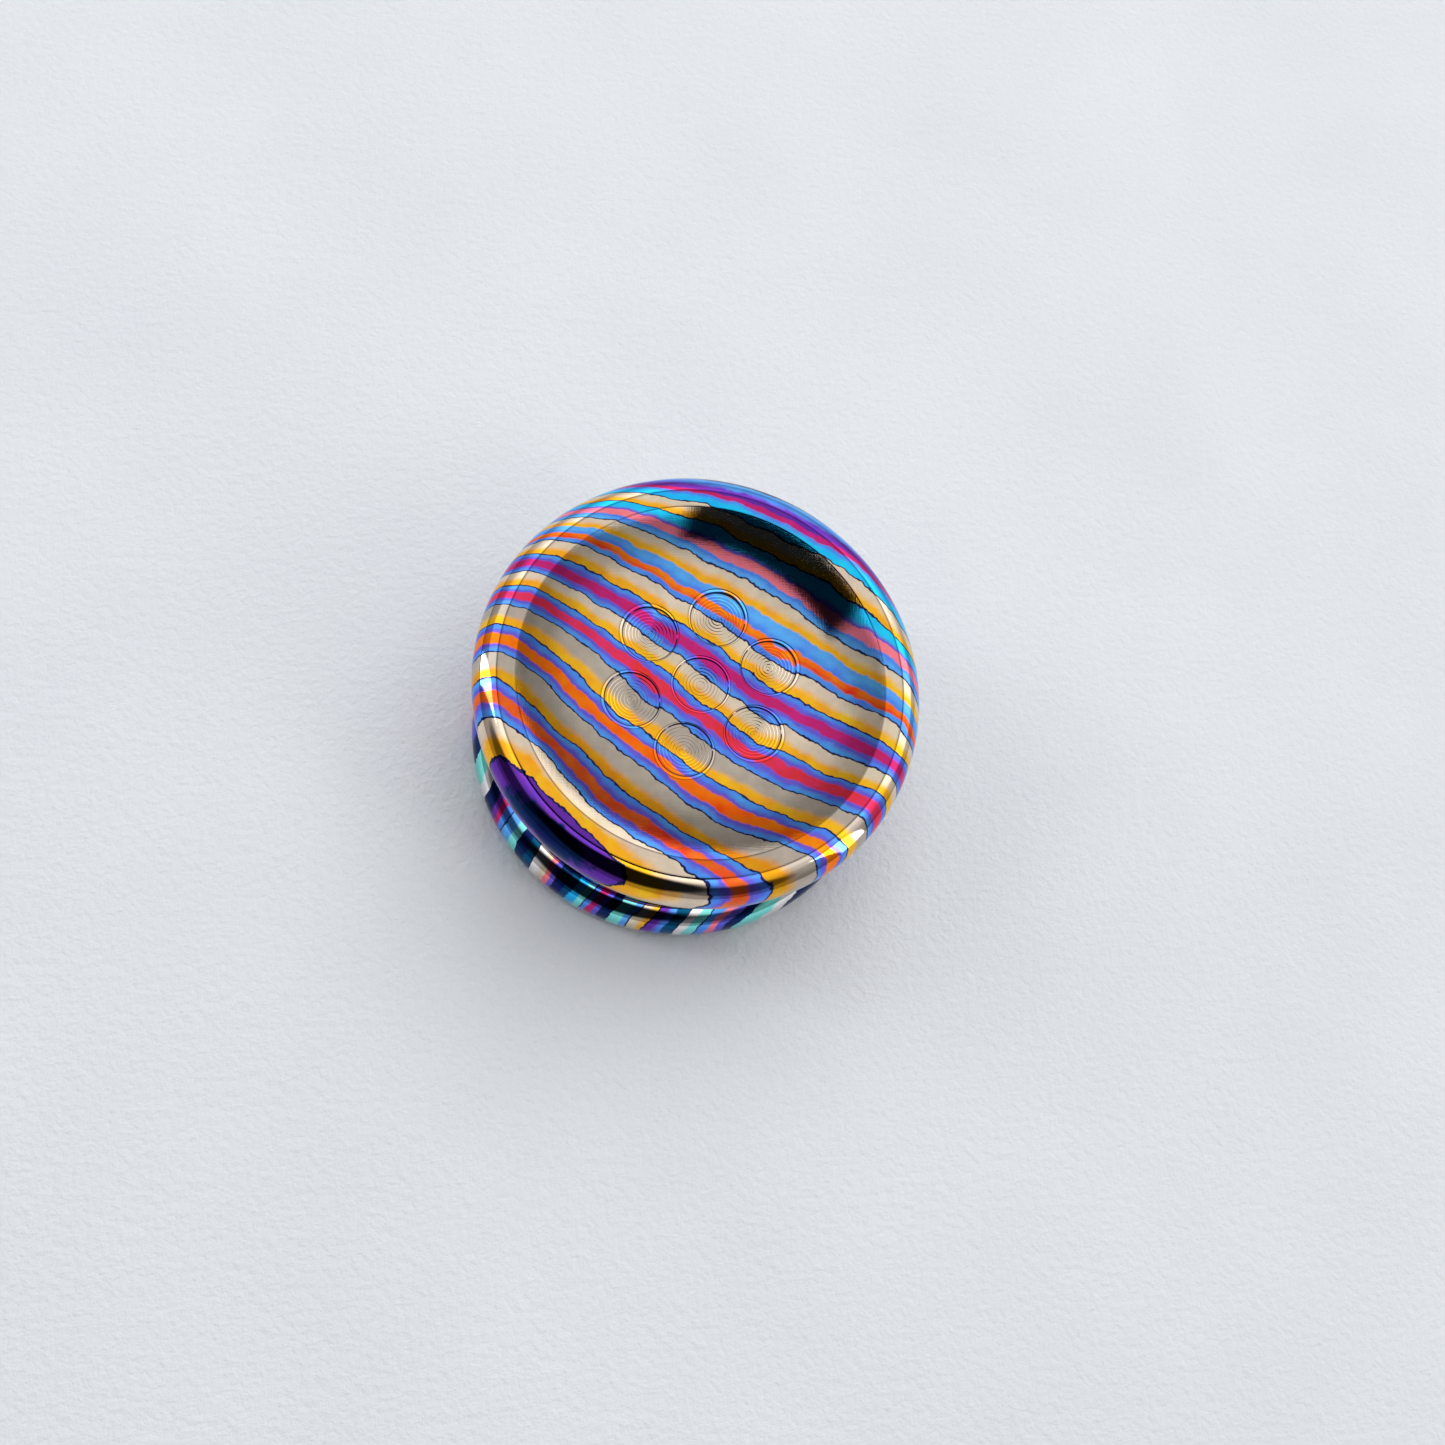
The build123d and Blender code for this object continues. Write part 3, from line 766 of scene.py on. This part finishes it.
def rolled_metal(name, colour, dark, rough, marks, direction):
    """Rolled or plated metal: long fine streaks one way, specks and small dents."""
    sheet = Sheet(name)
    streaks = sheet.noise(sheet.vector("MULTIPLY", sheet.place, direction), 1.0, 4.0, 0.6)
    specks = sheet.noise(sheet.place, 5.0, 3.0, 0.6)
    stain = sheet.math("MULTIPLY_ADD", sheet.noise(sheet.place, 0.7, 3.0), 0.3, 0.3)
    tone = sheet.mix(stain, colour, dark)
    tone = sheet.mix(sheet.math("MULTIPLY_ADD", streaks, 0.08, 0.08), tone, dark)
    sheet.link(tone, sheet.shader.inputs["Base Color"])
    sheet.shader.inputs["Metallic"].default_value = 1.0
    wear = sheet.math("MULTIPLY_ADD", specks, 0.05, sheet.math("MULTIPLY_ADD", streaks, 0.05, rough))
    sheet.link(sheet.math("MAXIMUM", wear, 0.06), sheet.shader.inputs["Roughness"])
    sheet.link(sheet.bump(sheet.math("ADD", streaks, specks), marks), sheet.shader.inputs["Normal"])
    return sheet.material


def moulded_rubber(name, colour, bloom):
    """Nitrile cord: matt, with a dusty bloom and a faint moulding texture."""
    sheet = Sheet(name)
    dust = sheet.math("MULTIPLY_ADD", sheet.noise(sheet.place, 2.5, 4.0, 0.65), 0.3, 0.25)
    sheet.link(sheet.mix(dust, colour, bloom), sheet.shader.inputs["Base Color"])
    rough = sheet.math("MULTIPLY_ADD", sheet.noise(sheet.place, 6.0, 3.0), 0.08, 0.55)
    sheet.link(rough, sheet.shader.inputs["Roughness"])
    sheet.link(sheet.bump(sheet.noise(sheet.place, 14.0, 3.0), 0.00001), sheet.shader.inputs["Normal"])
    return sheet.material


# colour, darker stain, roughness, height of the marks in metres, and their pitch or direction in millimetres
turned = {
    "carrier_brass": ((226, 186, 108), (176, 132, 72), 0.22, 0.0000022, 0.22),
    "bearing_steel": ((214, 216, 220), (150, 154, 162), 0.16, 0.0000016, 0.1),
    "post_steel": ((206, 206, 206), (146, 146, 150), 0.2, 0.0000024, 0.12),
    "screw_steel": ((150, 152, 158), (84, 86, 92), 0.26, 0.000002, 0.2),
}
rolled = {
    "magnet_nickel": ((222, 220, 212), (160, 156, 146), 0.14, 0.0000012, (1, 1, 1)),
    "ball_steel": ((226, 228, 232), (176, 178, 184), 0.07, 0.0000004, (2, 2, 2)),
    "cage_steel": ((196, 196, 196), (130, 130, 134), 0.28, 0.000003, (1, 1, 8)),
    "shield_steel": ((204, 206, 210), (146, 150, 156), 0.22, 0.0000018, (7, 0.4, 1)),
    "shield_ring_steel": ((190, 192, 198), (124, 126, 134), 0.25, 0.000002, (3, 3, 1)),
    "shim_steel": ((208, 208, 206), (156, 156, 156), 0.3, 0.000002, (0.5, 8, 1)),
}
finishes = {"grip_rubber": moulded_rubber("grip_rubber_finish", linear(24, 24, 26), linear(66, 66, 68))}
for make, table in ((turned_metal, turned), (rolled_metal, rolled)):
    for slot, (colour, dark, *rest) in table.items():
        finishes[slot] = make(slot + "_finish", linear(*colour), linear(*dark), *rest)

slots = {
    "lower_carrier": "carrier_brass",
    "upper_carrier": "carrier_brass",
    "lower_magnets": "magnet_nickel",
    "upper_magnets": "magnet_nickel",
    "lower_carrier_screws": "screw_steel",
    "upper_carrier_screws": "screw_steel",
    "post_screw": "screw_steel",
    "outer_race": "bearing_steel",
    "inner_race": "bearing_steel",
    "balls": "ball_steel",
    "cage": "cage_steel",
    "lower_shield": "shield_steel",
    "upper_shield": "shield_steel",
    "lower_shield_ring": "shield_ring_steel",
    "upper_shield_ring": "shield_ring_steel",
    "post": "post_steel",
    "post_grip_ring": "grip_rubber",
    "gap_shim": "shim_steel",
}
for node, slot in slots.items():
    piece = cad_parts[node]
    piece.data.materials.clear()
    piece.data.materials.append(finishes[slot])

# ---------------------------------------------------------------- pale floor
floor_mesh = bpy.data.meshes.new("floor")
floor_mesh.from_pydata([(-2, -2, 0), (2, -2, 0), (2, 2, 0), (-2, 2, 0)], [], [(0, 1, 2, 3)])
floor = bpy.data.objects.new("floor", floor_mesh)
bpy.context.scene.collection.objects.link(floor)
paper = Sheet("floor_finish")
tint = paper.math("MULTIPLY_ADD", paper.noise(paper.place, 0.05, 3.0), 0.2, 0.5)
paper.link(paper.mix(tint, linear(184, 187, 191), linear(172, 176, 182)), paper.shader.inputs["Base Color"])
paper.shader.inputs["Roughness"].default_value = 0.75
paper.link(paper.bump(paper.noise(paper.place, 1.5, 4.0, 0.6), 0.00004), paper.shader.inputs["Normal"])
floor_mesh.materials.append(paper.material)

# ---------------------------------------------------------------- camera, at the photographed angle
radii_away = 5.92
away = button_radius * radii_away / MM
polar = math.radians(21.4)
turn_angle = math.radians(244.65)
target = Vector((0, 0, lip_height / MM))
outward = Vector((math.cos(turn_angle), math.sin(turn_angle), 0))
upward = Vector((0, 0, 1))
back = outward * math.sin(polar) + upward * math.cos(polar)
down_slope = outward * math.cos(polar) - upward * math.sin(polar)
sideways = upward.cross(outward)
right = down_slope * math.cos(turn_angle) - sideways * math.sin(turn_angle)
up = down_slope * math.sin(turn_angle) + sideways * math.cos(turn_angle)
lens = 33.28
sensor = 36.0
view_width = away * sensor / lens
eye = target + back * away
# how far off the target the camera looks, in shares of the view's width
aim_right, aim_down = 0.015, 0.0264
aim = target + (right * aim_right - up * aim_down) * view_width
z_axis = (eye - aim).normalized()
x_axis = (right - z_axis * right.dot(z_axis)).normalized()
y_axis = z_axis.cross(x_axis)
camera_data = bpy.data.cameras.new("camera")
camera_data.lens = lens
camera_data.sensor_width = sensor
camera_data.clip_start = 0.001
camera_data.clip_end = 10
camera = bpy.data.objects.new("camera", camera_data)
camera.matrix_world = Matrix.Translation(eye) @ Matrix((x_axis, y_axis, z_axis)).transposed().to_4x4()
bpy.context.scene.collection.objects.link(camera)
bpy.context.scene.camera = camera


# ---------------------------------------------------------------- soft studio light
def direction(azimuth, off_vertical):
    a, p = math.radians(azimuth), math.radians(off_vertical)
    return Vector((math.sin(p) * math.cos(a), math.sin(p) * math.sin(a), math.cos(p)))


def softbox(name, azimuth, off_vertical, distance, width, depth, watts, colour, mirrored):
    """A large soft lamp that looks at the button, seen in its polish or not; degrees and metres."""
    data = bpy.data.lights.new(name, "AREA")
    data.shape = "RECTANGLE"
    data.size = width
    data.size_y = depth
    data.energy = watts
    data.color = colour
    lamp = bpy.data.objects.new(name, data)
    toward = direction(azimuth, off_vertical)
    lamp.location = target + toward * distance
    lamp.rotation_mode = "QUATERNION"
    lamp.rotation_quaternion = toward.to_track_quat("Z", "Y")
    lamp.visible_glossy = mirrored
    bpy.context.scene.collection.objects.link(lamp)


softbox("overhead", 62, 24, 0.5, 0.5, 0.6, 2.6, (1.0, 0.99, 0.97), False)
softbox("left_strip", 160, 62, 0.45, 0.08, 0.4, 0.7, (0.95, 0.98, 1.0), True)
softbox("right_strip", 330, 66, 0.45, 0.08, 0.4, 0.5, (1.0, 0.98, 0.95), True)


class Room:
    """The soft room round the button: bright in front of it, unlit behind the camera."""

    def __init__(self):
        self.world = bpy.data.worlds.new("studio")
        self.world.use_nodes = True
        self.tree = self.world.node_tree
        self.tree.nodes.clear()
        self.place = self.tree.nodes.new("ShaderNodeTexCoord").outputs["Generated"]

    def nearness(self, azimuth, off_vertical):
        """Cosine of the angle from a direction, given in degrees."""
        dot = self.tree.nodes.new("ShaderNodeVectorMath")
        dot.operation = "DOT_PRODUCT"
        self.tree.links.new(self.place, dot.inputs[0])
        dot.inputs[1].default_value = direction(azimuth, off_vertical)
        return dot.outputs["Value"]

    def patch(self, azimuth, off_vertical, wide, narrow):
        """1 within narrow degrees of a direction, 0 past wide, smooth between."""
        span = self.tree.nodes.new("ShaderNodeMapRange")
        span.interpolation_type = "SMOOTHSTEP"
        self.tree.links.new(self.nearness(azimuth, off_vertical), span.inputs["Value"])
        span.inputs["From Min"].default_value = math.cos(math.radians(wide))
        span.inputs["From Max"].default_value = math.cos(math.radians(narrow))
        return span.outputs["Result"]

    def rings(self, azimuth, off_vertical, stops):
        """Grey levels round a direction, each at so many degrees from it, the widest first."""
        ramp = self.tree.nodes.new("ShaderNodeValToRGB")
        ramp.color_ramp.interpolation = "EASE"
        elements = ramp.color_ramp.elements
        elements.remove(elements[0])
        elements[0].position = math.cos(math.radians(stops[0][0]))
        elements[0].color = (*[stops[0][1]] * 3, 1)
        for angle, level in stops[1:]:
            elements.new(math.cos(math.radians(angle))).color = (level, level, level, 1)
        self.tree.links.new(self.nearness(azimuth, off_vertical), ramp.inputs["Fac"])
        return ramp.outputs["Color"]

    def combine(self, operation, a, b):
        node = self.tree.nodes.new("ShaderNodeMath")
        node.operation = operation
        self.tree.links.new(a, node.inputs[0])
        self.tree.links.new(b, node.inputs[1])
        return node.outputs[0]

    def mix(self, factor, a, b):
        """The grey or colour a, or the plain colour b where factor is 1."""
        node = self.tree.nodes.new("ShaderNodeMix")
        node.data_type = "RGBA"
        self.tree.links.new(factor, node.inputs[0])
        self.tree.links.new(a, node.inputs[6])
        node.inputs[7].default_value = b
        return node.outputs[2]


room = Room()
# a round overhead diffuser, the dark gap round it, a bright frame, then walls that dim towards the floor
levels = [
    (90, 0.35), (62, 0.6), (45, 1.1), (29, 1.6), (23.8, 1.3),
    (22.2, 0.32), (19.5, 0.42), (16, 0.74), (11, 0.9), (0, 0.86),
]
light = room.rings(65, 21.4, levels)
# two windows, then dim to the camera's left and right, and unlit behind it
cool_window = (1.5, 1.52, 1.55, 1)
warm_window = (1.6, 1.58, 1.55, 1)
dim = (0.11, 0.115, 0.13, 1)
unlit = (0.009, 0.011, 0.015, 1)
patches = [
    (140, 43, 16, 10, cool_window),
    (15, 54, 18, 11, warm_window),
    (195, 60, 22, 14, dim),
    (290, 60, 22, 14, dim),
    (244, 46, 34, 24, unlit),
]
for azimuth, off_vertical, wide, narrow, level in patches:
    light = room.mix(room.patch(azimuth, off_vertical, wide, narrow), light, level)
# and the narrow unlit slot between the diffuser and the camera
gap = room.combine("SUBTRACT", room.patch(60.5, 20.2, 24.4, 23.7), room.patch(60.5, 20.2, 18.2, 17.2))
light = room.mix(room.combine("MULTIPLY", gap, room.patch(125, 2, 14, 11.5)), light, unlit)
# what the camera sees past the floor is plain; the room above shows only in the polish
backdrop = (0.58, 0.59, 0.61, 1)
ray = room.tree.nodes.new("ShaderNodeLightPath")
light = room.mix(ray.outputs["Is Camera Ray"], light, backdrop)
background = room.tree.nodes.new("ShaderNodeBackground")
world_out = room.tree.nodes.new("ShaderNodeOutputWorld")
room.tree.links.new(light, background.inputs["Color"])
room.tree.links.new(background.outputs["Background"], world_out.inputs["Surface"])
bpy.context.scene.world = room.world
bpy.context.scene.view_settings.view_transform = "Standard"
